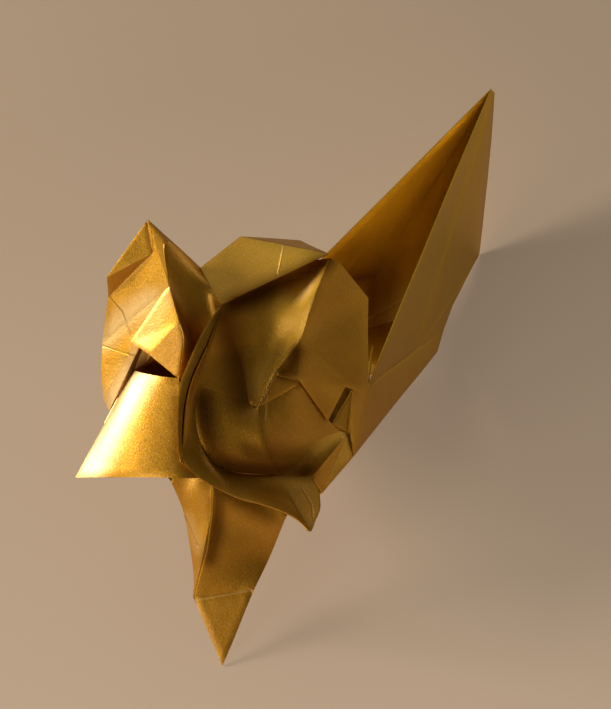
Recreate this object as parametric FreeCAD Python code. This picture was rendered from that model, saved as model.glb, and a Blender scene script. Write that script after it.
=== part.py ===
import FreeCAD, Part
import os

# Origami helmet folded from one square of metallic paper, in millimetres.
# Worn upright it faces -Y, +X is its right-hand side in front view and +Z is up.
# Every fold meets at named points. side is the distance from the middle plane,
# back the distance behind the crown and up the height above the tail's tip.

doc = FreeCAD.newDocument("OrigamiHelmet")
sheet = doc.addObject("Spreadsheet::Sheet", "Dimensions")
rowsUsed = 0


def keep(alias, value):
    """Writes one driving dimension to the sheet under a name."""
    global rowsUsed
    rowsUsed += 1
    sheet.set(f"A{rowsUsed}", alias)
    sheet.set(f"B{rowsUsed}", str(value))
    sheet.setAlias(f"B{rowsUsed}", alias)


keep("paperThickness", 0.4)
keep("viewSide", 0.62)

foldPoints = {
    # crest: two walls that meet in a fold at the back
    "crestTip": (0, 122.3, 187.5),
    "crestTipBack": (0, 125.0, 186.6),
    "crestSpine": (0, 131.8, 159.7),
    "crestHeel": (0, 135.8, 137.8),
    "crestFoot": (26.0, 46.8, 91.0),
    "creaseMiddle": (14.7, 87.5, 103.7),
    "creaseEnd": (8.1, 111.6, 113.2),
    "rimBack": (11.4, 105.2, 106.0),
    "hemLower": (6.0, 117.1, 120.8),
    "hemUpper": (3.6, 125.1, 129.2),
    "jawBack": (30.0, 40.8, 69.9),
    "hemCornerLeft": (-46.0, 92.0, 88.0),
    "hemBackLeft": (-0.3, 100.1, 96.2),
    "napeSide": (21.0, 53.0, 91.0),
    "webLeftUpper": (-22.2, 57.7, 105.0),
    "webLeftFront": (-27.7, 8.7, 100.0),
    # crown and brow
    "crown": (-3.1, 5.2, 127.3),
    "brow": (0, -2.3, 106.1),
    "crownCorner": (26.1, 9.2, 127.7),
    "crownDip": (-10.6, -1.3, 115.7),
    "apex": (26.4, 10.6, 126.6),
    "linerPeak": (8.5, 20.2, 130.0),
    "linerSide": (12.9, 19.3, 128.3),
    "linerBack": (0, 45.0, 120.0),
    "capBack": (0, 44.0, 114.0),
    # nose keel: a narrow strip between the rim on its left and the keel line, then the flange's bend
    "rimTop": (-0.3, -2.5, 105.4),
    "rimOne": (-2.5, -5.5, 96.1),
    "rimTwo": (-4.0, -7.2, 86.4),
    "rimThree": (-4.8, -7.7, 79.8),
    "rimFour": (-4.4, -7.0, 73.2),
    "rimFive": (-3.1, -5.5, 65.0),
    "rimFoot": (-1.5, -3.7, 57.5),
    "keelTop": (0.5, -1.9, 105.0),
    "keelOne": (-0.7, -4.2, 96.0),
    "keelTwo": (-2.1, -5.8, 87.0),
    "keelThree": (-3.0, -6.4, 80.6),
    "keelFour": (-3.3, -6.0, 73.5),
    "keelFive": (-2.6, -4.7, 65.2),
    "keelFoot": (-1.4, -3.2, 58.8),
    "bendOne": (-0.4, -2.6, 95.9),
    "bendTwo": (-1.6, -2.9, 88.9),
    "bendThree": (-2.1, -2.7, 81.2),
    "bendFour": (-1.2, -2.0, 73.1),
    "bendFive": (0.8, 0.1, 65.7),
    "bendSix": (3.5, 3.4, 60.6),
    "bendSeven": (7.2, 8.0, 58.0),
    "bendEight": (12.5, 12.8, 58.1),
    "bendNine": (20.3, 18.1, 59.7),
    "valleyTop": (1.3, 0.1, 102.1),
    "valleyMiddle": (4.6, 7.6, 91.2),
    "valleyLow": (10.3, 8.6, 78.9),
    "valleyLeftTop": (-2.3, 0.9, 101.5),
    "valleyLeftMiddle": (-5.4, 3.7, 89.9),
    "valleyLeftLow": (-4.5, 9.5, 78.5),
    "valleyLeftFoot": (-2.0, 7.0, 66.0),
    # right face
    "ridgeRightOne": (23.5, 10.5, 113.4),
    "ridgeRightTwo": (20.5, 12.8, 100.8),
    "ridgeRightThree": (15.6, 10.9, 89.0),
    "ridgeRightFour": (13.4, 9.0, 78.3),
    "fanDipRight": (10.7, 11.4, 121.6),
    "plateTop": (27.9, 13.9, 125.9),
    "plateOuter": (30.2, 29.9, 117.4),
    "plateLower": (31.3, 38.9, 91.0),
    "plateCorner": (31.1, 35.3, 89.4),
    "plateInner": (28.3, 30.8, 89.9),
    "plateHeel": (20.4, 16.3, 89.4),
    "pleatTip": (24.4, 31.6, 78.7),
    "eyeInner": (20.6, 19.4, 88.6),
    "eyeBottom": (24.4, 34.2, 78.0),
    "eyeOuter": (26.0, 38.5, 89.2),
    "cheekCorner": (27.0, 40.0, 76.6),
    "jawFront": (28.2, 23.5, 61.4),
    "jawFoot": (29.6, 28.5, 57.3),
    # bowl and collar
    "bowlUpper": (6.5, 3.5, 73.3),
    "bowlFront": (8.6, 5.1, 65.3),
    "bowlLower": (17.3, 9.9, 69.2),
    "collarOne": (1.2, -1.8, 55.8),
    "collarTwo": (7.1, 1.6, 52.9),
    "collarThree": (15.8, 6.1, 50.4),
    "collarFour": (21.3, 8.9, 50.1),
    "collarFive": (27.7, 12.3, 49.3),
    "collarSix": (32.3, 15.5, 47.5),
    "collarTip": (35.1, 17.7, 45.1),
    "collarEdgeOne": (35.2, 19.1, 48.7),
    "collarEdgeTwo": (35.0, 20.7, 52.8),
    "collarEdgeThree": (32.4, 22.6, 57.5),
    # left face
    "ridgeLeftOne": (-15.9, -15.3, 121.4),
    "ridgeLeftTwo": (-12.6, -13.2, 108.7),
    "ridgeLeftThree": (-7.1, -12.1, 98.5),
    "ridgeLeftFour": (-5.9, -9.6, 93.5),
    "ridgeLeftFive": (-7.3, -5.7, 82.0),
    "apexLeft": (-22.4, -17.5, 126.6),
    "earFold": (-23.1, -16.3, 126.1),
    "earLayerTop": (-20.4, -15.8, 121.7),
    "earLayer": (-19.4, -15.1, 117.1),
    "earCorner": (-32.0, -17.6, 107.2),
    "earOne": (-33.8, -11.7, 101.4),
    "earTwo": (-36.0, -6.0, 87.8),
    "earThree": (-35.6, -4.3, 80.1),
    "earFour": (-33.5, -2.5, 70.9),
    "earFoot": (-31.8, -1.0, 67.8),
    "earInner": (-25.3, -2.6, 81.3),
    "earNook": (-21.3, -2.7, 84.9),
    "earHidden": (-14.4, -6.6, 93.0),
    "flapOuter": (-24.2, -9.2, 89.6),
    "flapCrease": (-16.3, -10.2, 87.2),
    # left cheek guard
    "guardTopOuter": (-25.6, -1.9, 81.9),
    "guardTopOne": (-24.0, -3.8, 81.4),
    "guardTopTwo": (-20.3, -5.3, 81.2),
    "guardTopThree": (-15.6, -6.2, 81.3),
    "guardTopFour": (-11.1, -6.4, 81.6),
    "guardEdge": (-31.8, -2.2, 64.0),
    "guardTip": (-37.9, -1.9, 46.2),
    "guardHemOne": (-27.7, -4.3, 47.9),
    "guardHemTwo": (-17.1, -4.8, 49.7),
    "guardHemThree": (-9.0, -3.9, 51.3),
    "guardHemFour": (-2.0, -1.3, 52.8),
    "guardHemInner": (3.6, 3.6, 54.4),
    # tail
    "tailTop": (0, 16.0, 62.0),
    "tailRidgeOne": (0, 14.1, 52.8),
    "tailRidgeTwo": (-0.9, 18.4, 43.7),
    "tailRidgeThree": (-3.0, 22.0, 33.0),
    "tailRidgeFour": (-6.9, 28.1, 18.4),
    "tailTip": (3.6, 35.6, 0),
    "tailLeftTop": (-13.4, 11.7, 51.6),
    "tailLeftUpper": (-11.8, 20.9, 42.5),
    "tailLeftLower": (-9.5, 29.0, 26.5),
    "tailRightTop": (17.6, 31.1, 48.4),
    "tailRightUpper": (12.0, 35.8, 35.9),
    "tailRightLower": (9.4, 34.8, 24.6),
}
for name, place in foldPoints.items():
    for direction, value in zip(("Side", "Back", "Up"), place):
        keep(name + direction, value)
doc.recompute()


def point(name, mirrored=False):
    """A fold point from the sheet; mirrored gives its twin across the middle plane."""
    side = getattr(sheet, name + "Side")
    if mirrored:
        side = -side
    return FreeCAD.Vector(side, getattr(sheet, name + "Back"), getattr(sheet, name + "Up"))


triangles = []


def fan(*corners):
    """A panel as triangles spread from its first corner."""
    for second, third in zip(corners[1:-1], corners[2:]):
        triangles.append((corners[0], second, third))


def strip(first, second):
    """A panel between two chains of points, advancing along the shorter diagonal."""
    i = 0
    j = 0
    while i < len(first) - 1 or j < len(second) - 1:
        stepFirst = j == len(second) - 1
        if not stepFirst and i < len(first) - 1:
            acrossFirst = first[i + 1].distanceToPoint(second[j])
            acrossSecond = first[i].distanceToPoint(second[j + 1])
            stepFirst = acrossFirst <= acrossSecond
        if stepFirst:
            triangles.append((first[i], first[i + 1], second[j]))
            i += 1
        else:
            triangles.append((first[i], second[j + 1], second[j]))
            j += 1


def chain(*names, mirrored=False):
    return [point(name, mirrored) for name in names]


# crest walls, both sides; the left one spreads below its crease and hangs lower
for mirrored in (False, True):
    fan(*chain("creaseMiddle", "creaseEnd", "hemLower", "hemUpper", "crestHeel", "crestSpine",
               "crestTipBack", "crestTip", "crestFoot", mirrored=mirrored))
fan(*chain("crestFoot", "jawBack", "rimBack", "creaseEnd", "creaseMiddle"))
fan(point("hemCornerLeft"), point("jawBack", True), point("crestFoot", True), point("creaseMiddle", True),
    point("hemBackLeft"))
fan(point("creaseMiddle", True), point("creaseEnd", True), point("hemBackLeft"))

# nape flap that closes the neck between the jaws
fan(point("jawBack"), point("napeSide"), point("napeSide", True), point("jawBack", True), point("tailTop"))

# crown, overhanging the right brow, and the liner that peeks out behind it
fan(point("crown"), point("crownCorner"), point("brow"))
fan(point("crown"), point("brow"), point("crownDip"))
fan(point("linerPeak"), point("linerSide"), point("crownCorner"), point("crown"), point("linerBack"))
fan(point("linerSide"), point("linerPeak"), point("linerBack"))

# cap over the head, from the fan's top edge back under the liner
fan(*chain("capBack", "apex", "fanDipRight", "brow"))

# nose keel strip and the flange that runs down beside it into the collar
rim = chain("rimTop", "rimOne", "rimTwo", "rimThree", "rimFour", "rimFive", "rimFoot")
keel = chain("keelTop", "keelOne", "keelTwo", "keelThree", "keelFour", "keelFive", "keelFoot")
bend = chain("bendOne", "bendTwo", "bendThree", "bendFour", "bendFive", "bendSix", "bendSeven", "bendEight",
             "bendNine", "jawFront")
collar = chain("rimFoot", "collarOne", "collarTwo", "collarThree", "collarFour", "collarFive", "collarSix",
               "collarTip", "collarEdgeOne", "collarEdgeTwo", "collarEdgeThree")
fan(point("brow"), keel[0], rim[0])
strip(keel, rim)
strip([point("brow")] + bend, keel + collar)

# right fan, a valley between the flange and the ridge
valleyRight = chain("valleyTop", "valleyMiddle", "valleyLow")
ridgeRight = chain("apex", "ridgeRightOne", "ridgeRightTwo", "ridgeRightThree", "ridgeRightFour")
fan(point("brow"), bend[0], valleyRight[0])
strip(bend[:3], valleyRight)
strip([point("brow")] + valleyRight, [point("fanDipRight")] + ridgeRight[1:])
fan(point("apex"), ridgeRight[1], point("fanDipRight"))

# right plate on the ridge, with a small pleat hanging from its lower edge
plate = chain("plateTop", "plateOuter", "plateLower", "plateCorner", "plateInner", "plateHeel")
strip(ridgeRight[:4], plate)
fan(point("plateHeel"), point("pleatTip"), point("plateInner"))

# right cheek, which leaves the eye open behind the pleat, and its join to the crest wall
fan(*chain("ridgeRightFour", "eyeInner", "ridgeRightThree"))
strip(chain("ridgeRightFour", "bowlLower", "bendNine", "jawFront"),
      chain("eyeInner", "eyeBottom", "cheekCorner"))
fan(*chain("eyeOuter", "crestFoot", "jawBack", "cheekCorner", "eyeBottom"))
fan(*chain("cheekCorner", "jawBack", "jawFoot", "jawFront"))

# bowl between the fan and the bend
fan(*chain("bowlUpper", "valleyLow", "bendThree", "bendFour", "bendFive", "bowlFront", "bowlLower",
           "ridgeRightFour", "valleyLow"))
fan(*chain("bowlFront", "bendFive", "bendSix", "bendSeven", "bendEight", "bowlLower"))
fan(*chain("bowlLower", "bendEight", "bendNine"))

# left fan, which dives behind the keel strip
valleyLeft = chain("valleyLeftTop", "valleyLeftMiddle", "valleyLeftLow", "valleyLeftFoot", "guardHemInner")
ridgeLeft = chain("ridgeLeftOne", "ridgeLeftTwo", "ridgeLeftThree", "ridgeLeftFour", "ridgeLeftFive")
fan(point("brow"), rim[0], valleyLeft[0])
strip(rim, valleyLeft)
strip([point("brow")] + valleyLeft[:3], [point("crownDip")] + ridgeLeft)
fan(point("apexLeft"), ridgeLeft[0], point("crownDip"))

# left ear, its pleated upper corner and the flap over the eye
fan(point("apexLeft"), point("earLayerTop"), point("earLayer"), ridgeLeft[1], ridgeLeft[0])
fan(*chain("earFold", "earCorner", "earLayer"))
fan(*chain("earLayer", "earCorner", "earOne", "ridgeLeftTwo"))
fan(*chain("ridgeLeftTwo", "earOne", "earTwo", "earThree", "earFour", "earFoot", "earInner", "earNook",
           "earHidden"))
fan(*chain("flapOuter", "ridgeLeftTwo", "ridgeLeftThree", "flapCrease"))
fan(*chain("flapCrease", "ridgeLeftThree", "ridgeLeftFour", "ridgeLeftFive"))

# left cheek guard and its join to the crest wall
guardTop = chain("guardTopOne", "guardTopTwo", "guardTopThree", "guardTopFour", "ridgeLeftFive")
guardHem = chain("guardHemOne", "guardHemTwo", "guardHemThree", "guardHemFour")
fan(*chain("guardEdge", "guardTip", "guardHemOne", "guardTopOne", "guardTopOuter"))
strip(guardTop, guardHem)
fan(*chain("guardHemFour", "ridgeLeftFive", "valleyLeftLow", "valleyLeftFoot", "guardHemInner"))
fan(point("guardTopOuter"), point("guardEdge"), point("jawBack", True), point("crestFoot", True))

# hidden layer behind the left eye
fan(point("guardTopOuter"), point("crestFoot", True), point("webLeftUpper"), point("webLeftFront"))

# tail: ridge in front, edges swept back, joined to the jaws
fan(point("jawFoot"), point("jawBack"), point("tailRightTop"))
fan(point("tailTop"), point("tailRightTop"), point("jawBack"))
fan(point("guardEdge"), point("jawBack", True), point("tailLeftTop"))
fan(point("tailTop"), point("tailLeftTop"), point("jawBack", True))
tailRidge = chain("tailTop", "tailRidgeOne", "tailRidgeTwo", "tailRidgeThree", "tailRidgeFour")
strip(tailRidge, chain("tailRightTop", "tailRightUpper", "tailRightLower"))
strip(tailRidge[:4], chain("tailLeftTop", "tailLeftUpper", "tailLeftLower"))
fan(*chain("tailRidgeFour", "tailRidgeThree", "tailLeftLower"))
fan(*chain("tailRidgeFour", "tailRightLower", "tailTip"))


def keyOf(corner):
    return (round(corner.x, 4), round(corner.y, 4), round(corner.z, 4))


# one facing for the whole sheet: neighbours run along a shared fold in opposite directions
corners = {}
faces = []
for triangle in triangles:
    for corner in triangle:
        corners.setdefault(keyOf(corner), corner)
    faces.append([keyOf(corner) for corner in triangle])
byEdge = {}
for number, face in enumerate(faces):
    for start, end in zip(face, face[1:] + face[:1]):
        byEdge.setdefault(frozenset((start, end)), []).append(number)
for edge, users in byEdge.items():
    if len(users) > 2:
        raise RuntimeError(f"{len(users)} panels meet at one fold {sorted(edge)}")


def runs(face, start, end):
    return (start, end) in list(zip(face, face[1:] + face[:1]))


settled = {0}
waiting = [0]
while waiting:
    number = waiting.pop()
    face = faces[number]
    for start, end in zip(face, face[1:] + face[:1]):
        for other in byEdge[frozenset((start, end))]:
            if other not in settled:
                if runs(faces[other], start, end):
                    faces[other].reverse()
                settled.add(other)
                waiting.append(other)
if len(settled) != len(faces):
    raise RuntimeError("the sheet is not in one piece")

# each corner moves half the paper's thickness along the mean of its panels' normals
normals = {key: [] for key in corners}
for face in faces:
    first, second, third = [corners[key] for key in face]
    normal = (second - first).cross(third - first)
    area = normal.Length / 2
    if area < 1e-4:
        raise RuntimeError(f"a panel has no area at {face}")
    normal.normalize()
    for key, before, after in zip(face, face[2:] + face[:2], face[1:] + face[:1]):
        spread = (corners[before] - corners[key]).getAngle(corners[after] - corners[key])
        normals[key].append((normal, spread))
half = sheet.paperThickness / 2
outer = {}
inner = {}
for key, found in normals.items():
    mean = FreeCAD.Vector()
    for normal, spread in found:
        mean += normal * spread
    mean.normalize()
    slant = sum(max(0.0, mean.dot(normal)) * spread for normal, spread in found)
    slant /= sum(spread for normal, spread in found)
    step = mean * (half / max(slant, 0.5))
    outer[key] = corners[key] + step
    inner[key] = corners[key] - step


def facet(*places):
    return Part.Face(Part.makePolygon(list(places) + [places[0]]))


skin = []
for face in faces:
    skin.append(facet(*[outer[key] for key in face]))
    skin.append(facet(*[inner[key] for key in reversed(face)]))
    for start, end in zip(face, face[1:] + face[:1]):
        if len(byEdge[frozenset((start, end))]) == 1:
            skin.append(facet(outer[start], inner[start], inner[end]))
            skin.append(facet(outer[start], inner[end], outer[end]))
shell = Part.makeShell(skin)
solid = Part.Solid(shell)
if solid.Volume < 0:
    solid.reverse()

# Set down it lies on its back: on the tail's tip, the crest's heel and the left hem's corner.
restOne, restTwo, restThree = chain("tailTip", "crestHeel", "hemCornerLeft")
upward = (restTwo - restOne).cross(restThree - restOne)
upward.normalize()
if upward.dot(point("crown") - restOne) < 0:
    upward = -upward
forward = FreeCAD.Vector(sheet.viewSide, -1, 0)
across = upward.cross(forward * -1) * -1
across.normalize()
turn = FreeCAD.Rotation(across, upward.cross(across), upward, "ZXY").inverted()

helmet = doc.addObject("Part::Feature", "foldedSheet")
helmet.Label = "folded_sheet"
helmet.Shape = solid
lying = solid.copy()
lying.Placement = FreeCAD.Placement(FreeCAD.Vector(), turn)
bounds = lying.BoundBox
seat = FreeCAD.Vector(-bounds.Center.x, -bounds.Center.y, -bounds.ZMin)
helmet.Placement = FreeCAD.Placement(seat, turn)
doc.recompute()

for thing in doc.Objects:
    if "Invalid" in thing.State or "Error" in thing.State:
        raise RuntimeError(f"{thing.Label} failed: {thing.State}")
if helmet.Shape.isNull() or not helmet.Shape.isValid():
    raise RuntimeError("the folded sheet is not a valid solid")
print("lies at", [round(value, 6) for value in helmet.Placement.toMatrix().A])
print("panels", len(faces), "volume", round(helmet.Shape.Volume, 1))
print("area", round(helmet.Shape.Area / 2, 1))

os.makedirs("parts", exist_ok=True)
helmet.Shape.exportStep(f"parts/{helmet.Label}.step")
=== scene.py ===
import bpy, bmesh, math
from mathutils import Vector, Matrix, noise


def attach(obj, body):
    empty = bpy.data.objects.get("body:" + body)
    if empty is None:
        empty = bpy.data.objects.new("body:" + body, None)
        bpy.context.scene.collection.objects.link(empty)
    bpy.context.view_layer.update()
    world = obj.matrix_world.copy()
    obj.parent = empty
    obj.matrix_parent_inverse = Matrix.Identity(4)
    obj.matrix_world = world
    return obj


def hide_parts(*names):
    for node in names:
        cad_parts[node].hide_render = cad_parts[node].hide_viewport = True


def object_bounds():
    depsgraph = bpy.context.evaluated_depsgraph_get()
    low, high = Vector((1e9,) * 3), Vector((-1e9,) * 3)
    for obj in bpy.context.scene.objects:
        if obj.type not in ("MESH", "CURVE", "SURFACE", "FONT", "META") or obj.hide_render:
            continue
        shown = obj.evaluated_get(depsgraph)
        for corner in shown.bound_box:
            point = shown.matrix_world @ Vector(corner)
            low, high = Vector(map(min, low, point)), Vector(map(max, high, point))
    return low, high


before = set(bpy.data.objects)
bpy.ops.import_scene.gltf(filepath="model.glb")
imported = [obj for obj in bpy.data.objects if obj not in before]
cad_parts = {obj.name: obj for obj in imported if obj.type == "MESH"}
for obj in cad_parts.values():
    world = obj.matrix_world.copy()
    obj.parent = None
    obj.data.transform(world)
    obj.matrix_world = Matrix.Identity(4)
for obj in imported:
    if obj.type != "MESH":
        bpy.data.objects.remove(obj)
cadLow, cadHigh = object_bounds()
print("frame loaded")

# fold points in millimetres: side, back, up; a minus before a name is its twin on the other side
folds = {
    # crest: two walls that meet in a fold at the back
    "crestTip": (0, 122.3, 187.5), "crestTipBack": (0, 125.0, 186.6), "crestSpine": (0, 131.8, 159.7),
    "crestHeel": (0, 135.8, 137.8), "crestFoot": (26.0, 46.8, 91.0), "creaseMiddle": (14.7, 87.5, 103.7),
    "creaseEnd": (8.1, 111.6, 113.2), "rimBack": (11.4, 105.2, 106.0), "hemLower": (6.0, 117.1, 120.8),
    "hemUpper": (3.6, 125.1, 129.2), "jawBack": (30.0, 40.8, 69.9), "hemCornerLeft": (-46.0, 92.0, 88.0),
    "hemBackLeft": (-0.3, 100.1, 96.2), "napeSide": (21.0, 53.0, 91.0),
    "webLeftUpper": (-22.2, 57.7, 105.0), "webLeftFront": (-27.7, 8.7, 100.0),
    # crown and brow
    "crown": (-3.1, 5.2, 127.3), "brow": (0, -2.3, 106.1), "crownCorner": (26.1, 9.2, 127.7),
    "crownDip": (-10.6, -1.3, 115.7), "apex": (26.4, 10.6, 126.6), "linerPeak": (8.5, 20.2, 130.0),
    "linerSide": (12.9, 19.3, 128.3), "linerBack": (0, 45.0, 120.0), "capBack": (0, 44.0, 114.0),
    # nose keel: a narrow strip between the rim on its left and the keel line, then the flange's bend
    "rimTop": (-0.3, -2.5, 105.4), "rimOne": (-2.5, -5.5, 96.1), "rimTwo": (-4.0, -7.2, 86.4),
    "rimThree": (-4.8, -7.7, 79.8), "rimFour": (-4.4, -7.0, 73.2), "rimFive": (-3.1, -5.5, 65.0),
    "rimFoot": (-1.5, -3.7, 57.5), "keelTop": (0.5, -1.9, 105.0), "keelOne": (-0.7, -4.2, 96.0),
    "keelTwo": (-2.1, -5.8, 87.0), "keelThree": (-3.0, -6.4, 80.6), "keelFour": (-3.3, -6.0, 73.5),
    "keelFive": (-2.6, -4.7, 65.2), "keelFoot": (-1.4, -3.2, 58.8), "bendOne": (-0.4, -2.6, 95.9),
    "bendTwo": (-1.6, -2.9, 88.9), "bendThree": (-2.1, -2.7, 81.2), "bendFour": (-1.2, -2.0, 73.1),
    "bendFive": (0.8, 0.1, 65.7), "bendSix": (3.5, 3.4, 60.6), "bendSeven": (7.2, 8.0, 58.0),
    "bendEight": (12.5, 12.8, 58.1), "bendNine": (20.3, 18.1, 59.7), "valleyTop": (1.3, 0.1, 102.1),
    "valleyMiddle": (4.6, 7.6, 91.2), "valleyLow": (10.3, 8.6, 78.9), "valleyLeftTop": (-2.3, 0.9, 101.5),
    "valleyLeftMiddle": (-5.4, 3.7, 89.9), "valleyLeftLow": (-4.5, 9.5, 78.5),
    "valleyLeftFoot": (-2.0, 7.0, 66.0),
    # groove between the strip and the flange
    "grooveOne": (-1.4, -2.3, 95.8), "grooveTwo": (-2.8, -3.9, 86.9), "grooveThree": (-3.7, -4.5, 80.5),
    "grooveFour": (-3.9, -4.0, 73.4), "grooveFive": (-3.3, -2.8, 65.0), "lipOne": (-0.2, -3.5, 95.7),
    "lipTwo": (-1.5, -5.0, 86.7), "lipThree": (-2.4, -5.6, 80.3), "lipFour": (-2.6, -5.1, 73.3),
    "lipFive": (-2.0, -3.9, 64.9),
    # right face
    "webRight": (24.6, 47.2, 104.0), "ridgeRightOne": (23.5, 10.5, 113.4),
    "ridgeRightTwo": (20.5, 12.8, 100.8), "ridgeRightThree": (15.6, 10.9, 89.0),
    "ridgeRightFour": (13.4, 9.0, 78.3), "fanDipRight": (10.7, 11.4, 121.6),
    "plateTop": (27.9, 13.9, 125.9), "plateOuter": (30.2, 29.9, 117.4), "plateLower": (31.3, 38.9, 91.0),
    "plateCorner": (30.3, 36.6, 89.4), "plateInner": (27.8, 31.5, 89.9), "plateHeel": (20.6, 16.0, 89.4),
    "pleatTip": (24.4, 31.6, 78.7), "eyeInner": (20.6, 19.4, 88.6), "eyeBottom": (24.4, 34.2, 78.0),
    "eyeOuter": (26.0, 38.5, 89.2), "cheekCorner": (27.0, 40.0, 76.6), "jawFront": (28.2, 23.5, 61.4),
    "jawFoot": (29.6, 28.5, 57.3),
    # bowl and collar
    "bowlUpper": (6.5, 3.5, 73.3), "bowlFront": (8.6, 5.1, 65.3), "bowlLower": (17.3, 9.9, 69.2),
    "collarOne": (1.2, -1.8, 55.8), "collarTwo": (7.1, 1.6, 52.9), "collarThree": (15.8, 6.1, 50.4),
    "collarFour": (21.3, 8.9, 50.1), "collarFive": (27.7, 12.3, 49.3), "collarSix": (32.3, 15.5, 47.5),
    "collarTip": (35.1, 17.7, 45.1), "collarEdgeOne": (35.2, 19.1, 48.7),
    "collarEdgeTwo": (35.0, 20.7, 52.8), "collarEdgeThree": (32.4, 22.6, 57.5),
    # left face
    "ridgeLeftOne": (-15.9, -15.3, 121.4), "ridgeLeftTwo": (-12.6, -13.2, 108.7),
    "ridgeLeftThree": (-7.1, -12.1, 98.5), "ridgeLeftFour": (-5.9, -9.6, 93.5),
    "ridgeLeftFive": (-7.3, -5.7, 82.0), "apexLeft": (-22.4, -17.5, 126.6),
    "earFold": (-23.1, -16.3, 126.1), "earLayerTop": (-20.4, -15.8, 121.7),
    "earLayer": (-19.4, -15.1, 117.1), "earCorner": (-32.0, -17.6, 107.2),
    "earOne": (-33.8, -11.7, 101.4), "earTwo": (-36.0, -6.0, 87.8), "earThree": (-35.6, -4.3, 80.1),
    "earFour": (-33.5, -2.5, 70.9), "earFoot": (-31.8, -1.0, 67.8), "earInner": (-25.3, -2.6, 81.3),
    "earNook": (-21.3, -2.7, 84.9), "earHidden": (-14.4, -6.6, 93.0), "flapOuter": (-24.2, -9.2, 89.6),
    "flapCrease": (-16.3, -10.2, 87.2),
    # left cheek guard
    "guardTopOuter": (-25.6, -1.9, 81.9), "guardTopOne": (-24.0, -3.8, 81.4),
    "guardTopTwo": (-20.3, -5.3, 81.2), "guardTopThree": (-15.6, -6.2, 81.3),
    "guardTopFour": (-11.1, -6.4, 81.6), "guardEdge": (-31.8, -2.2, 64.0),
    "guardTip": (-37.9, -1.9, 46.2), "guardHemOne": (-27.7, -4.3, 47.9),
    "guardHemTwo": (-17.1, -4.8, 49.7), "guardHemThree": (-9.0, -3.9, 51.3),
    "guardHemFour": (-2.0, -1.3, 52.8), "guardHemInner": (3.6, 3.6, 54.4),
    # tail
    "tailTop": (0, 16.0, 62.0), "tailRidgeOne": (0, 14.1, 52.8), "tailRidgeTwo": (-0.9, 18.4, 43.7),
    "tailRidgeThree": (-3.0, 22.0, 33.0), "tailRidgeFour": (-6.9, 28.1, 18.4), "tailTip": (3.6, 35.6, 0),
    "tailLeftTop": (-13.4, 11.7, 51.6), "tailLeftUpper": (-11.8, 20.9, 42.5),
    "tailLeftLower": (-9.5, 29.0, 26.5), "tailRightTop": (17.6, 31.1, 48.4),
    "tailRightUpper": (12.0, 35.8, 35.9), "tailRightLower": (9.4, 34.8, 24.6),
    # only in the curved sheet
    "fanUpperRight": (12.0, 10.3, 107.5), "fanMiddleRight": (12.0, 12.0, 96.0),
    "fanLowerRight": (12.4, 8.6, 78.4),
}

helmetPaper = {
    "thickness": 0.4,          # mm
    "foldRadius": 0.14,        # mm, how far a pressed fold is rounded
    "foldAngle": 16,           # degrees, folds sharper than this are rounded and worn
    "sharpAngle": 28,          # degrees, folds sharper than this are shaded as an edge
    "panelSteps": 8,           # subdivisions along each panel's edge
    "waviness": 0.18,          # mm, how far a panel leaves its plane
    "wavinessLength": 16.0,    # mm
    "wavinessSeed": 7,
    "curveSteps": 12,          # steps between two fold points of a curved edge
    "weldGap": 0.03,           # mm, corners closer than this are one
    "layTurn": 0.62,           # sideways share of the way the helmet faces when it lies down
}

view = {
    "turn": 32.0,              # degrees between the helmet's front and the camera
    "roll": 12.1,              # degrees
    "aim": (22.6, 14.2, 96.9),  # mm, the place in the middle of the picture
    "height": 0.2127,          # metres across the picture, from bottom to top
    "distance": 7.6,           # metres
}
turn = math.radians(view["turn"])
toViewer = Vector((math.sin(turn), -math.cos(turn), 0))  # in the standing frame


def place(name):
    if name.startswith("-"):
        side, back, up = folds[name[1:]]
        return Vector((-side, back, up))
    return Vector(folds[name])


# the sheet is built standing, in millimetres, and then laid down
sheetMesh = bmesh.new()


def smoothCurve(points, count):
    # a curve through the points, sampled evenly by length
    ends = [points[0] * 2 - points[1]] + points + [points[-1] * 2 - points[-2]]
    steps = helmetPaper["curveSteps"]
    fine = []
    for before, start, end, after in zip(ends, ends[1:], ends[2:], ends[3:]):
        for j in range(steps):
            t = j / steps
            square = (2 * before - 5 * start + 4 * end - after) * t ** 2
            cube = (3 * start - before - 3 * end + after) * t ** 3
            fine.append(0.5 * (2 * start + (end - before) * t + square + cube))
    fine.append(points[-1])
    lengths = [0.0]
    for first, second in zip(fine, fine[1:]):
        lengths.append(lengths[-1] + (second - first).length)
    samples = []
    k = 0
    for i in range(count):
        wanted = lengths[-1] * i / (count - 1)
        while k < len(fine) - 2 and lengths[k + 1] < wanted:
            k += 1
        share = (wanted - lengths[k]) / max(lengths[k + 1] - lengths[k], 1e-9)
        samples.append(fine[k].lerp(fine[k + 1], share))
    return samples


def addGrid(grid):
    rows = [[sheetMesh.verts.new(spot) for spot in line] for line in grid]
    for first, second in zip(rows, rows[1:]):
        for a, b, c, d in zip(first, first[1:], second[1:], second):
            sheetMesh.faces.new((a, b, c, d))


def sweep(*rows, columns=25, steps=12):
    # a curved panel through rows of fold points
    lines = [smoothCurve([place(name) for name in row.split()], columns) for row in rows]
    across = []
    for spots in zip(*lines):
        if len(spots) > 2:
            across.append(smoothCurve(list(spots), steps + 1))
        else:
            across.append([spots[0].lerp(spots[1], j / steps) for j in range(steps + 1)])
    addGrid([[across[i][j] for i in range(columns)] for j in range(steps + 1)])


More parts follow.
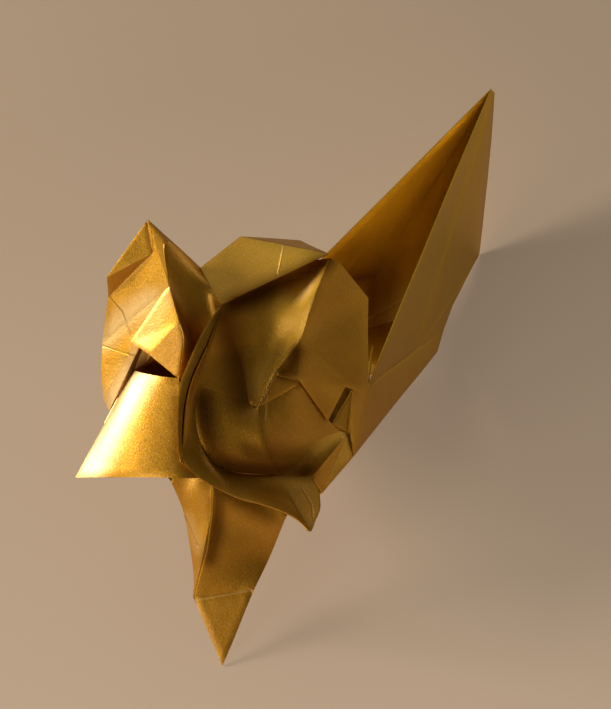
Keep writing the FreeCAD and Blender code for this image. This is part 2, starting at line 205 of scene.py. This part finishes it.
def triangle(first, second, third):
    # a flat panel, divided so that it can wave a little
    steps = helmetPaper["panelSteps"]
    rows = []
    for i in range(steps + 1):
        row = []
        for j in range(steps + 1 - i):
            b, c = i / steps, j / steps
            row.append(sheetMesh.verts.new(first * (1 - b - c) + second * b + third * c))
        rows.append(row)
    for i in range(steps):
        for j in range(steps - i):
            sheetMesh.faces.new((rows[i][j], rows[i + 1][j], rows[i][j + 1]))
            if j < steps - i - 1:
                sheetMesh.faces.new((rows[i + 1][j], rows[i + 1][j + 1], rows[i][j + 1]))


def fan(names):
    # a flat panel spread from its first corner
    corners = [place(name) for name in names.split()]
    for second, third in zip(corners[1:-1], corners[2:]):
        triangle(corners[0], second, third)


# crest
for twin in ("", "-"):
    fan(" ".join(twin + name for name in ("creaseMiddle", "creaseEnd", "hemLower", "hemUpper", "crestHeel",
                                          "crestSpine", "crestTipBack", "crestTip", "crestFoot")))
fan("crestFoot jawBack rimBack creaseEnd creaseMiddle")
fan("hemCornerLeft -jawBack -crestFoot -creaseMiddle hemBackLeft")
fan("-creaseMiddle -creaseEnd hemBackLeft")
fan("jawBack napeSide -napeSide -jawBack tailTop")

# crown
fan("crown crownCorner brow")
fan("crown brow crownDip")
fan("linerPeak linerSide crownCorner crown linerBack")
fan("linerSide linerPeak linerBack")
fan("capBack apex fanDipRight brow")

# nose keel strip and the flange beside it
fan("brow keelTop rimTop")
sweep("keelTop keelOne keelTwo keelThree keelFour keelFive keelFoot",
      "rimTop rimOne rimTwo rimThree rimFour rimFive rimFoot", steps=3)
sweep("brow bendOne bendTwo bendThree bendFour bendFive bendSix bendSeven bendEight bendNine jawFront",
      "brow lipOne lipTwo lipThree lipFour lipFive keelFoot collarOne collarTwo collarThree collarFour "
      "collarFive collarSix collarTip collarEdgeOne collarEdgeTwo collarEdgeThree", columns=80)
sweep("brow keelOne keelTwo keelThree keelFour keelFive keelFoot",
      "brow grooveOne grooveTwo grooveThree grooveFour grooveFive keelFoot",
      columns=40, steps=2)
sweep("brow grooveOne grooveTwo grooveThree grooveFour grooveFive keelFoot",
      "brow lipOne lipTwo lipThree lipFour lipFive keelFoot", columns=40, steps=2)

# right fan and plate
sweep("brow bendOne bendTwo bendThree", "brow valleyTop valleyMiddle valleyLow", steps=10)
sweep("brow valleyTop valleyMiddle valleyLow",
      "fanDipRight fanUpperRight fanMiddleRight fanLowerRight",
      "apex ridgeRightOne ridgeRightTwo ridgeRightThree ridgeRightFour")
fan("ridgeRightTwo ridgeRightOne apex plateTop plateOuter plateLower plateCorner plateInner plateHeel")
fan("ridgeRightTwo plateHeel ridgeRightThree")
fan("plateHeel pleatTip plateInner")
fan("crestFoot plateLower webRight")

# right cheek
fan("ridgeRightFour eyeInner ridgeRightThree")
sweep("ridgeRightFour bowlLower bendNine jawFront", "eyeInner eyeBottom cheekCorner jawFront")
fan("eyeOuter crestFoot jawBack cheekCorner eyeBottom")
fan("cheekCorner jawBack jawFoot jawFront")

# bowl
sweep("bendThree bendFour bendFive bendSix", "valleyLow bowlUpper bowlFront bendSeven",
      "ridgeRightFour bowlLower bendNine")

# left fan, which dives behind the keel strip
sweep("rimTop rimOne rimTwo rimThree rimFour rimFive rimFoot",
      "brow valleyLeftTop valleyLeftMiddle valleyLeftLow valleyLeftFoot guardHemInner")
sweep("brow valleyLeftTop valleyLeftMiddle valleyLeftLow",
      "crownDip ridgeLeftOne ridgeLeftTwo ridgeLeftThree ridgeLeftFour ridgeLeftFive")
fan("apexLeft ridgeLeftOne crownDip")

# left ear and flap
fan("apexLeft earLayerTop earLayer ridgeLeftTwo ridgeLeftOne")
fan("earFold earCorner earLayer")
fan("earLayer earCorner earOne ridgeLeftTwo")
fan("ridgeLeftTwo earOne earTwo earThree earFour earFoot earInner earNook earHidden")
fan("flapOuter ridgeLeftTwo ridgeLeftThree flapCrease")
fan("flapCrease ridgeLeftThree ridgeLeftFour ridgeLeftFive")

# left cheek guard
sweep("guardTopOuter guardTopOne guardTopTwo guardTopThree guardTopFour ridgeLeftFive",
      "guardTip guardHemOne guardHemTwo guardHemThree guardHemFour guardHemInner")
fan("guardTopOuter guardEdge -jawBack -crestFoot")
fan("guardTopOuter -crestFoot webLeftUpper webLeftFront")

# tail
fan("jawFoot jawBack tailRightTop")
fan("tailTop tailRightTop jawBack")
fan("guardEdge -jawBack tailLeftTop")
fan("tailTop tailLeftTop -jawBack")
sweep("tailTop tailRidgeOne tailRidgeTwo tailRidgeThree tailRidgeFour",
      "tailRightTop tailRightUpper tailRightLower")
sweep("tailTop tailRidgeOne tailRidgeTwo tailRidgeThree tailRidgeFour",
      "tailLeftTop tailLeftUpper tailLeftLower tailRidgeFour")
fan("tailRidgeFour tailRightLower tailTip")
print("panels divided into", len(sheetMesh.faces), "faces")

bmesh.ops.remove_doubles(sheetMesh, verts=sheetMesh.verts, dist=helmetPaper["weldGap"])
bmesh.ops.dissolve_degenerate(sheetMesh, edges=sheetMesh.edges, dist=helmetPaper["weldGap"] / 3)
bmesh.ops.recalc_face_normals(sheetMesh, faces=sheetMesh.faces)

# paper never lies quite flat
noise.seed_set(helmetPaper["wavinessSeed"])
for vert in sheetMesh.verts:
    vert.co += noise.noise_vector(vert.co / helmetPaper["wavinessLength"]) * helmetPaper["waviness"]

# laid on the tail's tip, the crest's heel and the left hem's corner
restOne, restTwo, restThree = place("tailTip"), place("crestHeel"), place("hemCornerLeft")
upward = (restTwo - restOne).cross(restThree - restOne).normalized()
if upward.dot(place("crown") - restOne) < 0:
    upward.negate()
forward = Vector((helmetPaper["layTurn"], -1, 0))
across = forward.cross(upward).normalized() * -1
along = upward.cross(across)
lay = Matrix((across, along, upward))
low = Vector([min((lay @ vert.co)[i] for vert in sheetMesh.verts) for i in range(3)])
high = Vector([max((lay @ vert.co)[i] for vert in sheetMesh.verts) for i in range(3)])
middle = (low + high) / 2
seat = (cadLow + cadHigh) / 2 * 1000 - middle
for vert in sheetMesh.verts:
    vert.co = (lay @ vert.co + seat) / 1000
print("helmet laid down, moved by", [round(value, 1) for value in seat], "mm")


def restPlace(spot):
    return (lay @ Vector(spot) + seat) / 1000


rawSheet = bpy.data.meshes.new("rawSheet")
sheetMesh.to_mesh(rawSheet)
sheetMesh.free()
helmet = bpy.data.objects.new("foldedHelmet", rawSheet)
bpy.context.collection.objects.link(helmet)
thick = helmet.modifiers.new("paper", "SOLIDIFY")
thick.thickness = helmetPaper["thickness"] / 1000
thick.offset = 0
foldBevel = helmet.modifiers.new("folds", "BEVEL")
foldBevel.limit_method = "ANGLE"
foldBevel.angle_limit = math.radians(helmetPaper["foldAngle"])
foldBevel.width = helmetPaper["foldRadius"] / 1000
foldBevel.segments = 2
foldBevel.material = 1  # the worn gold

# gold paper, with sizes in metres
goldPaper = {
    "gold": (0.68, 0.33, 0.018, 1),
    "deepGold": (0.56, 0.25, 0.011, 1),
    # worn gold of the fold edges, also the painted highlight on the light creases
    "wornAndHighlightGold": (0.95, 0.66, 0.24, 1),
    "crestLitGold": (0.74, 0.47, 0.04, 1),
    "highlightGold": (0.92, 0.70, 0.34, 1),
    # the colour of the painted shade in hollows and dark creases
    "shadedGold": (0.13, 0.04, 0.004, 1),
    "fleckGold": (1.0, 0.88, 0.55, 1),
    "edgeTint": (0.55, 0.38, 0.13, 1),
    "fleck": 0.16,             # share of the brightest flecks
    "metal": 0.82,
    "roughness": 0.46,
    "grainRoughness": 0.09,    # how far the grain moves the roughness
    "cloudRoughness": 0.04,
    "coat": 0.4,
    "coatRoughness": 0.28,
    "cloudSize": 0.03,
    "grainSize": 0.0007,
    "grainHeight": 0.00008,
    "buckleSize": 0.012,
    "buckleHeight": 0.00035,
    "creaseWidth": 0.0004,
    "creaseHeight": 0.0001,
    # the light creases' paler colour is wear and a painted highlight
    "creaseHighlight": 0.45,       # how strongly a crease's colour shows
    # how strongly the painted shade on a dark crease shows
    "creaseShade": 0.5,
    "wornFold": 0.8,           # how worn the folds are
    "depthShare": 0.8,         # how little the depth counts in a crease's distance
}


def addSocket(group, name, kind, direction="OUTPUT"):
    return group.interface.new_socket(name=name, in_out=direction, socket_type=kind)


# gives how far a place on the sheet is from a straight crease
def newCreaseGroup():
    group = bpy.data.node_groups.new("creaseDistance", "ShaderNodeTree")
    for name in ("Place", "Start", "End"):
        addSocket(group, name, "NodeSocketVector", "INPUT")
    addSocket(group, "Distance", "NodeSocketFloat")
    nodes, links = group.nodes, group.links
    entry, leave = nodes.new("NodeGroupInput"), nodes.new("NodeGroupOutput")

    def vectorMath(operation, first, second, output="Vector"):
        made = nodes.new("ShaderNodeVectorMath")
        made.operation = operation
        links.new(first, made.inputs[0])
        links.new(second, made.inputs[1])
        return made.outputs[output]

    fromStart = vectorMath("SUBTRACT", entry.outputs["Place"], entry.outputs["Start"])
    run = vectorMath("SUBTRACT", entry.outputs["End"], entry.outputs["Start"])
    share = nodes.new("ShaderNodeMath")
    share.operation = "DIVIDE"
    share.use_clamp = True
    links.new(vectorMath("DOT_PRODUCT", fromStart, run, "Value"), share.inputs[0])
    links.new(vectorMath("DOT_PRODUCT", run, run, "Value"), share.inputs[1])
    reached = nodes.new("ShaderNodeVectorMath")
    reached.operation = "SCALE"
    links.new(run, reached.inputs[0])
    links.new(share.outputs[0], reached.inputs["Scale"])
    distance = vectorMath("DISTANCE", fromStart, reached.outputs["Vector"], "Value")
    links.new(distance, leave.inputs["Distance"])
    return group


creaseGroup = newCreaseGroup()

# pressed creases and slits, as points on the standing sheet in millimetres; the light ones are drawn paler,
# as wear with a painted highlight, and raised a little, the dark ones carry painted shade and a small
# groove in the relief
highlightedCreases = {
    "crown": [(11.5, 6.9, 127.4), (13.4, 4.1, 119.1)],
    "tail": [(-6.3, 28.3, 17.5), (9.0, 34.4, 24.3)],
    "collar": [(3.5, 3.0, 60.7), (6.8, 6.6, 57.9), (9.7, 9.8, 57.9)],
    "bowl": [(14.6, 10.5, 82.6), (15.7, 10.6, 75.2)],
    "fan": [(15.7, 10.9, 88.7), (13.5, 8.8, 78.3)],
}
shadedCreases = {
    "leftFan": [(-11.9, -6.4, 114.9), (-6.5, -0.6, 109.1)],
    "leftFanLower": [(-11.6, -6.8, 111.5), (-8.4, -0.1, 108.2)],
    "earTop": [(-23.0, -16.5, 125.5), (-20.2, -16.8, 123.2), (-19.2, -15.4, 117.4)],
    "earMiddle": [(-33.3, -11.9, 101.4), (-28.9, -10.0, 97.9), (-24.4, -9.2, 91.1)],
    "earLow": [(-35.2, -6.3, 86.7), (-27.8, -8.0, 86.0), (-22.3, -6.3, 85.7)],
    "collarTip": [(27.9, 19.6, 57.5), (32.1, 20.4, 53.2), (34.3, 19.1, 49.4)],
    "collarTipInner": [(27.0, 14.9, 52.9), (30.4, 16.1, 50.8)],
    "tailStrip": [(-11.4, 20.9, 41.7), (-6.0, 22.7, 33.9)],
    "jaw": [(27.4, 39.9, 76.3), (30.0, 40.6, 70.1)],
    "tailRidge": [(0.1, 14.1, 52.5), (-0.7, 18.3, 43.6), (-2.3, 22.4, 33.0), (-4.7, 25.2, 25.3),
                  (-6.7, 27.9, 18.5)],
}


# one group gives the paper's varying colour, with its painted shade, painted light and painted highlights,
# and its roughness and relief to both of its materials
def newPaperGroup():
    group = bpy.data.node_groups.new("foldedGoldPaper", "ShaderNodeTree")
    worn = addSocket(group, "Worn", "NodeSocketFloat", "INPUT")
    worn.default_value = 0
    addSocket(group, "Color", "NodeSocketColor")
    addSocket(group, "Roughness", "NodeSocketFloat")
    addSocket(group, "Metallic", "NodeSocketFloat")
    addSocket(group, "Coat", "NodeSocketFloat")
    addSocket(group, "Normal", "NodeSocketVector")
    nodes, links = group.nodes, group.links
    entry, leave = nodes.new("NodeGroupInput"), nodes.new("NodeGroupOutput")
    where = nodes.new("ShaderNodeTexCoord")

    def noiseOf(size, detail, rough=0.5):
        made = nodes.new("ShaderNodeTexNoise")
        made.inputs["Scale"].default_value = 1 / size
        made.inputs["Detail"].default_value = detail
        made.inputs["Roughness"].default_value = rough
        links.new(where.outputs["Object"], made.inputs["Vector"])
        return made.outputs["Fac"]

    def attributeOf(name):
        made = nodes.new("ShaderNodeAttribute")
        made.attribute_name = name
        return made.outputs["Fac"]

    def ranged(value, low, high, toLow, toHigh):
        made = nodes.new("ShaderNodeMapRange")
        made.inputs["From Min"].default_value = low
        made.inputs["From Max"].default_value = high
        made.inputs["To Min"].default_value = toLow
        made.inputs["To Max"].default_value = toHigh
        links.new(value, made.inputs["Value"])
        return made.outputs["Result"]

    def combined(operation, first, second):
        made = nodes.new("ShaderNodeMath")
        made.operation = operation
        for socket, value in ((made.inputs[0], first), (made.inputs[1], second)):
            if isinstance(value, (int, float)):
                socket.default_value = value
            else:
                links.new(value, socket)
        return made.outputs[0]

    def mixedColor(factor, first, second):
        made = nodes.new("ShaderNodeMix")
        made.data_type = "RGBA"
        for socket, value in ((made.inputs["A"], first), (made.inputs["B"], second)):
            if isinstance(value, tuple):
                socket.default_value = value
            else:
                links.new(value, socket)
        links.new(factor, made.inputs["Factor"])
        return made.outputs["Result"]

    # depth across the layers counts less, so a crease stays on the sheet where it bends
    depthAxis = lay @ toViewer
    depthShare = goldPaper["depthShare"]
    depth = nodes.new("ShaderNodeVectorMath")
    depth.operation = "DOT_PRODUCT"
    links.new(where.outputs["Object"], depth.inputs[0])
    depth.inputs[1].default_value = depthAxis
    depthPart = nodes.new("ShaderNodeVectorMath")
    depthPart.operation = "SCALE"
    depthPart.inputs[0].default_value = depthAxis * -depthShare
    links.new(depth.outputs["Value"], depthPart.inputs["Scale"])
    flat = nodes.new("ShaderNodeVectorMath")
    flat.operation = "ADD"
    links.new(where.outputs["Object"], flat.inputs[0])
    links.new(depthPart.outputs["Vector"], flat.inputs[1])

    def creaseMask(creases):
        nearest = None
        for line in creases.values():
            spots = [restPlace(spot) for spot in line]
            spots = [spot - depthAxis * depthShare * spot.dot(depthAxis) for spot in spots]
            for start, end in zip(spots, spots[1:]):
                crease = nodes.new("ShaderNodeGroup")
                crease.node_tree = creaseGroup
                links.new(flat.outputs["Vector"], crease.inputs["Place"])
                crease.inputs["Start"].default_value = start
                crease.inputs["End"].default_value = end
                gap = crease.outputs["Distance"]
                nearest = gap if nearest is None else combined("MINIMUM", nearest, gap)
        return ranged(nearest, 0, goldPaper["creaseWidth"], 1, 0)

    creaseHighlightLine, creaseShadeLine = creaseMask(highlightedCreases), creaseMask(shadedCreases)
    cloud = ranged(noiseOf(goldPaper["cloudSize"], 3), 0.35, 0.65, 0, 1)
    grain = noiseOf(goldPaper["grainSize"], 3, 0.7)
    fleck = ranged(noiseOf(goldPaper["grainSize"] * 0.6, 1), 0.55, 0.72, 0, goldPaper["fleck"])
    color = mixedColor(cloud, goldPaper["deepGold"], goldPaper["gold"])
    # painted light on the crest
    color = mixedColor(attributeOf("crestPaintedLight"), color, goldPaper["crestLitGold"])
    # painted highlight, from the highlight strokes
    color = mixedColor(attributeOf("paintedHighlight"), color, goldPaper["highlightGold"])
    color = mixedColor(fleck, color, goldPaper["fleckGold"])
    color = mixedColor(entry.outputs["Worn"], color, goldPaper["wornAndHighlightGold"])
    # wear and painted highlight along the light creases
    light = combined("MULTIPLY", creaseHighlightLine, goldPaper["creaseHighlight"])
    color = mixedColor(light, color, goldPaper["wornAndHighlightGold"])
    # painted shade: the foldShade strokes and the dark creases darken the gold, raise its metal share and
    # drop its coat
    deep = combined("MULTIPLY", creaseShadeLine, goldPaper["creaseShade"])
    deep = combined("MAXIMUM", attributeOf("foldShade"), deep)
    color = mixedColor(deep, color, goldPaper["shadedGold"])
    links.new(ranged(deep, 0, 1, goldPaper["metal"], 1), leave.inputs["Metallic"])
    links.new(ranged(deep, 0, 1, goldPaper["coat"], 0), leave.inputs["Coat"])
    links.new(color, leave.inputs["Color"])
    roughness, spread = goldPaper["roughness"], goldPaper["grainRoughness"]
    rough = ranged(grain, 0.3, 0.7, roughness - spread, roughness + spread)
    cloudRough = ranged(cloud, 0, 1, goldPaper["cloudRoughness"], -goldPaper["cloudRoughness"])
    rough = combined("ADD", rough, cloudRough)
    links.new(rough, leave.inputs["Roughness"])
    # a soft buckle of the sheet under the fine pressed grain
    buckle = combined("MULTIPLY", noiseOf(goldPaper["buckleSize"], 2), goldPaper["buckleHeight"])
    relief = combined("ADD", buckle, combined("MULTIPLY", grain, goldPaper["grainHeight"]))
    relief = combined("ADD", relief, combined("MULTIPLY", creaseHighlightLine, goldPaper["creaseHeight"]))
    relief = combined("SUBTRACT", relief, combined("MULTIPLY", creaseShadeLine, goldPaper["creaseHeight"]))
    bump = nodes.new("ShaderNodeBump")
    bump.inputs["Distance"].default_value = 1
    links.new(relief, bump.inputs["Height"])
    links.new(bump.outputs["Normal"], leave.inputs["Normal"])
    return group


paperGroup = newPaperGroup()


def newMaterial(name, wornAmount):
    material = bpy.data.materials.new(name)
    material.use_nodes = True
    nodes, links = material.node_tree.nodes, material.node_tree.links
    principled = nodes["Principled BSDF"]
    principled.inputs["Coat Roughness"].default_value = goldPaper["coatRoughness"]
    principled.inputs["Specular Tint"].default_value = goldPaper["edgeTint"]
    paper = nodes.new("ShaderNodeGroup")
    paper.node_tree = paperGroup
    paper.inputs["Worn"].default_value = wornAmount
    links.new(paper.outputs["Color"], principled.inputs["Base Color"])
    links.new(paper.outputs["Roughness"], principled.inputs["Roughness"])
    links.new(paper.outputs["Metallic"], principled.inputs["Metallic"])
    links.new(paper.outputs["Coat"], principled.inputs["Coat Weight"])
    links.new(paper.outputs["Normal"], principled.inputs["Normal"])
    return material


rawSheet.materials.append(newMaterial("goldPaper", 0))
rawSheet.materials.append(newMaterial("wornFold", goldPaper["wornFold"]))
print("gold paper ready")

# the modifiers are applied so that the folds stay sharp and the panels smooth
bpy.context.view_layer.update()
finished = bpy.data.meshes.new_from_object(helmet.evaluated_get(bpy.context.evaluated_depsgraph_get()))
helmet.modifiers.clear()
helmet.data = finished

# painted shade, painted light and painted highlights, each a radius in millimetres, a strength and the line
# it follows on the standing sheet; the first table is painted shade under the crown, in the bowl, in the
# eye, inside the crest and in other hollows
paintedShadeStrokes = {
    "underCrown": (4.2, 1.0, [(2.3, 0.2, 106.8), (8.0, 6.1, 112.5), (14.6, 9.6, 117.8), (21.1, 10.0, 122.4),
                              (25.0, 10.2, 125.3)]),
    "bowlRim": (4.5, 0.9, [(0.2, -1.3, 77.1), (2.3, 0.6, 68.5), (4.7, 3.3, 62.5), (7.2, 6.5, 60.3),
                           (10.9, 10.1, 59.8), (18.2, 15.3, 61.1), (25.3, 23.2, 63.3)]),
    "bowlFloor": (5.0, 0.7, [(13.6, 9.8, 64.0), (19.9, 16.9, 64.4), (24.2, 24.2, 65.4)]),
    "besideNose": (6.0, 0.8, [(1.1, -0.7, 102.5), (2.8, 3.0, 96.5), (4.7, 6.8, 89.6), (7.9, 7.3, 82.6),
                              (9.5, 7.5, 78.9)]),
    "noseStrip": (2.0, 0.35, [(-1.4, -3.5, 100.0), (-2.8, -6.0, 88.0), (-3.9, -7.0, 79.5),
                              (-3.9, -6.5, 70.0), (-2.3, -4.5, 61.0)]),
    "collar": (5.0, 0.4, [(0.0, -1.0, 61.0), (7.0, 5.0, 56.0), (16.0, 11.0, 55.0), (25.0, 17.0, 56.0),
                          (31.0, 20.0, 53.0)]),
    "eye": (4.0, 1.0, [(16.0, 51.5, 88.8), (16.8, 48.4, 83.3), (16.7, 45.9, 79.1)]),
    "fanRidge": (3.2, 0.9, [(19.4, 13.8, 97.1), (17.7, 15.1, 92.0), (16.7, 13.5, 90.1)]),
    "behindFlap": (6.0, 1.0, [(-25.3, 2.4, 83.0), (-25.7, 9.9, 83.2), (-26.3, 19.9, 82.4)]),
    "insideCrest": (12.0, 0.9, [(-13.3, 86.9, 123.0), (-10.8, 97.3, 123.2), (-10.4, 101.4, 111.4)]),
    "tailRidge": (3.0, 0.8, [(1.3, 17.1, 48.7), (0.2, 21.3, 39.8), (-1.6, 24.0, 30.6)]),
    "tailTop": (4.0, 0.5, [(2.4, 16.6, 51.3), (7.8, 22.0, 49.6), (13.6, 27.9, 47.6)]),
    "plate": (11.0, 0.28, [(27.6, 15.0, 117.0), (28.6, 25.0, 106.0), (29.4, 32.0, 96.0)]),
    "lowerFan": (7.0, 0.3, [(12.0, 12.0, 97.0), (12.4, 9.0, 84.0)]),
    "pleat": (5.0, 0.3, [(23.2, 22.5, 86.0), (24.2, 29.0, 81.0)]),
}
# painted light: a paler, less red gold over the crest, standing in for light on its inner wall
crestLightStrokes = {
    "crest": (52.0, 1.0, [(0, 122.3, 187.5), (-4.0, 108.0, 150.0), (-10.8, 97.3, 123.2)]),
}
# painted highlights: a paler gold along the bright bands of the cheek guard, the ear, the flap and the tail
# strip, on the side facing the camera
paintedHighlightStrokes = {
    "guard": (6.0, 0.9, [(-21.8, -4.8, 80.1), (-28.5, -3.4, 65.5), (-33.5, -2.9, 50.0)]),
    "ear": (4.0, 0.5, [(-35.2, -6.5, 88.5), (-27.9, -9.2, 96.3), (-19.1, -11.5, 103.1)]),
    "flap": (4.0, 0.25, [(-20.6, -10.0, 90.8), (-17.0, -11.2, 96.8), (-13.4, -12.7, 104.7)]),
    "tailStrip": (2.5, 0.3, [(-10.7, 21.1, 40.9), (-7.7, 21.8, 36.9), (-6.1, 23.1, 33.3)]),
    "earFoot": (5.0, 0.15, [(-29.9, -6.3, 72.6), (-24.6, -8.0, 80.4)]),
}
strokeEdge = {
    "reach": 1.5,              # a stroke fades out at this many radii
    "depthShare": 0.6,         # how little the depth counts in its distance
    "frontStart": 0.15,        # how far a side may face away before a stroke leaves it
    "frontFade": 4,            # how quickly it does
}


def gapToLine(spot, line):
    nearest = 1000.0
    for start, end in zip(line, line[1:]):
        run = Vector(end) - Vector(start)
        share = min(max((spot - Vector(start)).dot(run) / run.length_squared, 0), 1)
        gap = spot - Vector(start) - run * share
        gap -= toViewer * gap.dot(toViewer) * strokeEdge["depthShare"]
        nearest = min(nearest, gap.length)
    return nearest


def paintFolds(mesh, name, strokes, frontOnly):
    # paints one table of painted strokes into a vertex attribute; with frontOnly, the sheet's far side
    # keeps its plain gold
    values = []
    for vert in mesh.vertices:
        spot = lay.transposed() @ (vert.co * 1000 - seat)
        shown = 1
        if frontOnly:
            facing = (lay.transposed() @ vert.normal).dot(toViewer) + strokeEdge["frontStart"]
            shown = min(max(facing * strokeEdge["frontFade"], 0), 1)
        amount = 0.0
        for radius, strength, line in strokes.values():
            share = max(0.0, 1 - gapToLine(spot, line) / (radius * strokeEdge["reach"]))
            amount = max(amount, strength * share * share * (3 - 2 * share))
        values.append(amount * shown)
    mesh.attributes.new(name, "FLOAT", "POINT").data.foreach_set("value", values)


# painted shade, painted light on the crest and painted highlights are stored as vertex attributes
paintFolds(finished, "foldShade", paintedShadeStrokes, True)
paintFolds(finished, "crestPaintedLight", crestLightStrokes, False)
paintFolds(finished, "paintedHighlight", paintedHighlightStrokes, True)
finished.shade_smooth()
finished.set_sharp_from_angle(angle=math.radians(helmetPaper["sharpAngle"]))
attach(helmet, "root")
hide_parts("folded_sheet")
print("helmet finished with", len(finished.vertices), "vertices")

# floor, light and camera
studio = {
    "floorReach": 40,          # metres
    "floorColor": (0.37, 0.275, 0.19, 1),
    "floorRoughness": 0.9,
    "floorShine": 0.1,
    "floorSeen": (0.44, 0.33, 0.235, 1),
    "glowNear": 0.585,         # how strongly the floor's seen color shows on the camera's side
    "glowFar": 0.2925,         # and past the helmet
    "glowReach": 0.15,         # metres
    "worldColor": (0.80, 0.66, 0.50, 1),
    "worldStrength": 0.08,
}
warmWhite, coolWhite = (1.0, 0.93, 0.82), (0.92, 0.97, 1.0)
# the way to each lamp is right, up and towards the camera in the picture; distance and size are in metres
lamps = {
    "keyLamp": {"way": (-0.95, 0.30, 0.05), "distance": 1.0, "size": 0.4, "power": 9.2, "color": warmWhite},
    "lowLamp": {"way": (-0.7, -0.45, 0.6), "distance": 1.0, "size": 0.6, "power": 3.0, "color": warmWhite},
    "rimLamp": {"way": (0.8, 0.5, 0.0), "distance": 1.0, "size": 0.6, "power": 1.0, "color": warmWhite},
    "topLamp": {"way": (-0.3, 0.8, 0.5), "distance": 1.0, "size": 0.8, "power": 0.95, "color": coolWhite},
}

floorMesh = bpy.data.meshes.new("floor")
reach = studio["floorReach"]
floorMesh.from_pydata([(-reach, -reach, 0), (reach, -reach, 0), (reach, reach, 0), (-reach, reach, 0)], [],
                      [(0, 1, 2, 3)])
floor = bpy.data.objects.new("floor", floorMesh)
bpy.context.collection.objects.link(floor)
floorPaint = bpy.data.materials.new("floorPaint")
floorPaint.use_nodes = True
floorSurface = floorPaint.node_tree.nodes["Principled BSDF"]
floorSurface.inputs["Base Color"].default_value = studio["floorColor"]
floorSurface.inputs["Roughness"].default_value = studio["floorRoughness"]
floorSurface.inputs["Specular IOR Level"].default_value = studio["floorShine"]
floorNodes, floorLinks = floorPaint.node_tree.nodes, floorPaint.node_tree.links
seenBy = floorNodes.new("ShaderNodeLightPath")
seen = seenBy.outputs["Is Camera Ray"]
for rayName in ("Is Glossy Ray", "Is Transmission Ray"):
    either = floorNodes.new("ShaderNodeMath")
    either.operation = "MAXIMUM"
    floorLinks.new(seen, either.inputs[0])
    floorLinks.new(seenBy.outputs[rayName], either.inputs[1])
    seen = either.outputs[0]
# the seen glow is painted light on the floor for camera and glossy rays, lightening the helmet's shadow,
# and it falls off towards the far side of the floor
floorSpot = floorNodes.new("ShaderNodeTexCoord")
floorAxes = floorNodes.new("ShaderNodeSeparateXYZ")
floorLinks.new(floorSpot.outputs["Object"], floorAxes.inputs["Vector"])
fade = floorNodes.new("ShaderNodeMapRange")
fade.inputs["From Min"].default_value = -studio["glowReach"]
fade.inputs["From Max"].default_value = studio["glowReach"]
fade.inputs["To Min"].default_value = studio["glowNear"]
fade.inputs["To Max"].default_value = studio["glowFar"]
floorLinks.new(floorAxes.outputs["Y"], fade.inputs["Value"])
glow = floorNodes.new("ShaderNodeMath")
glow.operation = "MULTIPLY"
floorLinks.new(seen, glow.inputs[0])
floorLinks.new(fade.outputs["Result"], glow.inputs[1])
glowColor = floorNodes.new("ShaderNodeMix")
glowColor.data_type = "RGBA"
glowColor.inputs["A"].default_value = (0, 0, 0, 1)
glowColor.inputs["B"].default_value = studio["floorSeen"]
floorLinks.new(glow.outputs[0], glowColor.inputs["Factor"])
floorLinks.new(glowColor.outputs["Result"], floorSurface.inputs["Emission Color"])
floorSurface.inputs["Emission Strength"].default_value = 1
floorMesh.materials.append(floorPaint)

world = bpy.data.worlds.new("studio")
world.use_nodes = True
world.node_tree.nodes["Background"].inputs["Color"].default_value = studio["worldColor"]
world.node_tree.nodes["Background"].inputs["Strength"].default_value = studio["worldStrength"]
bpy.context.scene.world = world
bpy.context.scene.view_settings.view_transform = "Standard"

# the picture's own directions, laid down with the helmet
roll = math.radians(view["roll"])
levelRight = Vector((math.cos(turn), math.sin(turn), 0))
levelUp = Vector((0, 0, 1))
imageRight = lay @ (levelRight * math.cos(roll) + levelUp * math.sin(roll))
imageUp = lay @ (levelUp * math.cos(roll) - levelRight * math.sin(roll))
toCamera = lay @ toViewer
aim = restPlace(view["aim"])

cameraData = bpy.data.cameras.new("camera")
cameraData.sensor_width = 36
cameraData.lens = cameraData.sensor_width * view["distance"] / view["height"]
cameraData.clip_end = 200
camera = bpy.data.objects.new("camera", cameraData)
bpy.context.collection.objects.link(camera)
camera.matrix_world = Matrix.Translation(aim + toCamera * view["distance"]) @ Matrix(
    (imageRight, imageUp, toCamera)).transposed().to_4x4()
bpy.context.scene.camera = camera


def areaLamp(name, settings):
    lampData = bpy.data.lights.new(name, "AREA")
    lampData.shape = "SQUARE"
    lampData.size = settings["size"]
    lampData.energy = settings["power"]
    lampData.color = settings["color"]
    lamp = bpy.data.objects.new(name, lampData)
    bpy.context.collection.objects.link(lamp)
    right, up, near = settings["way"]
    way = (imageRight * right + imageUp * up + toCamera * near).normalized()
    lamp.location = aim + way * settings["distance"]
    lamp.rotation_mode = "QUATERNION"
    lamp.rotation_quaternion = way.to_track_quat("Z", "Y")


for lampName, settings in lamps.items():
    areaLamp(lampName, settings)
print("studio ready")
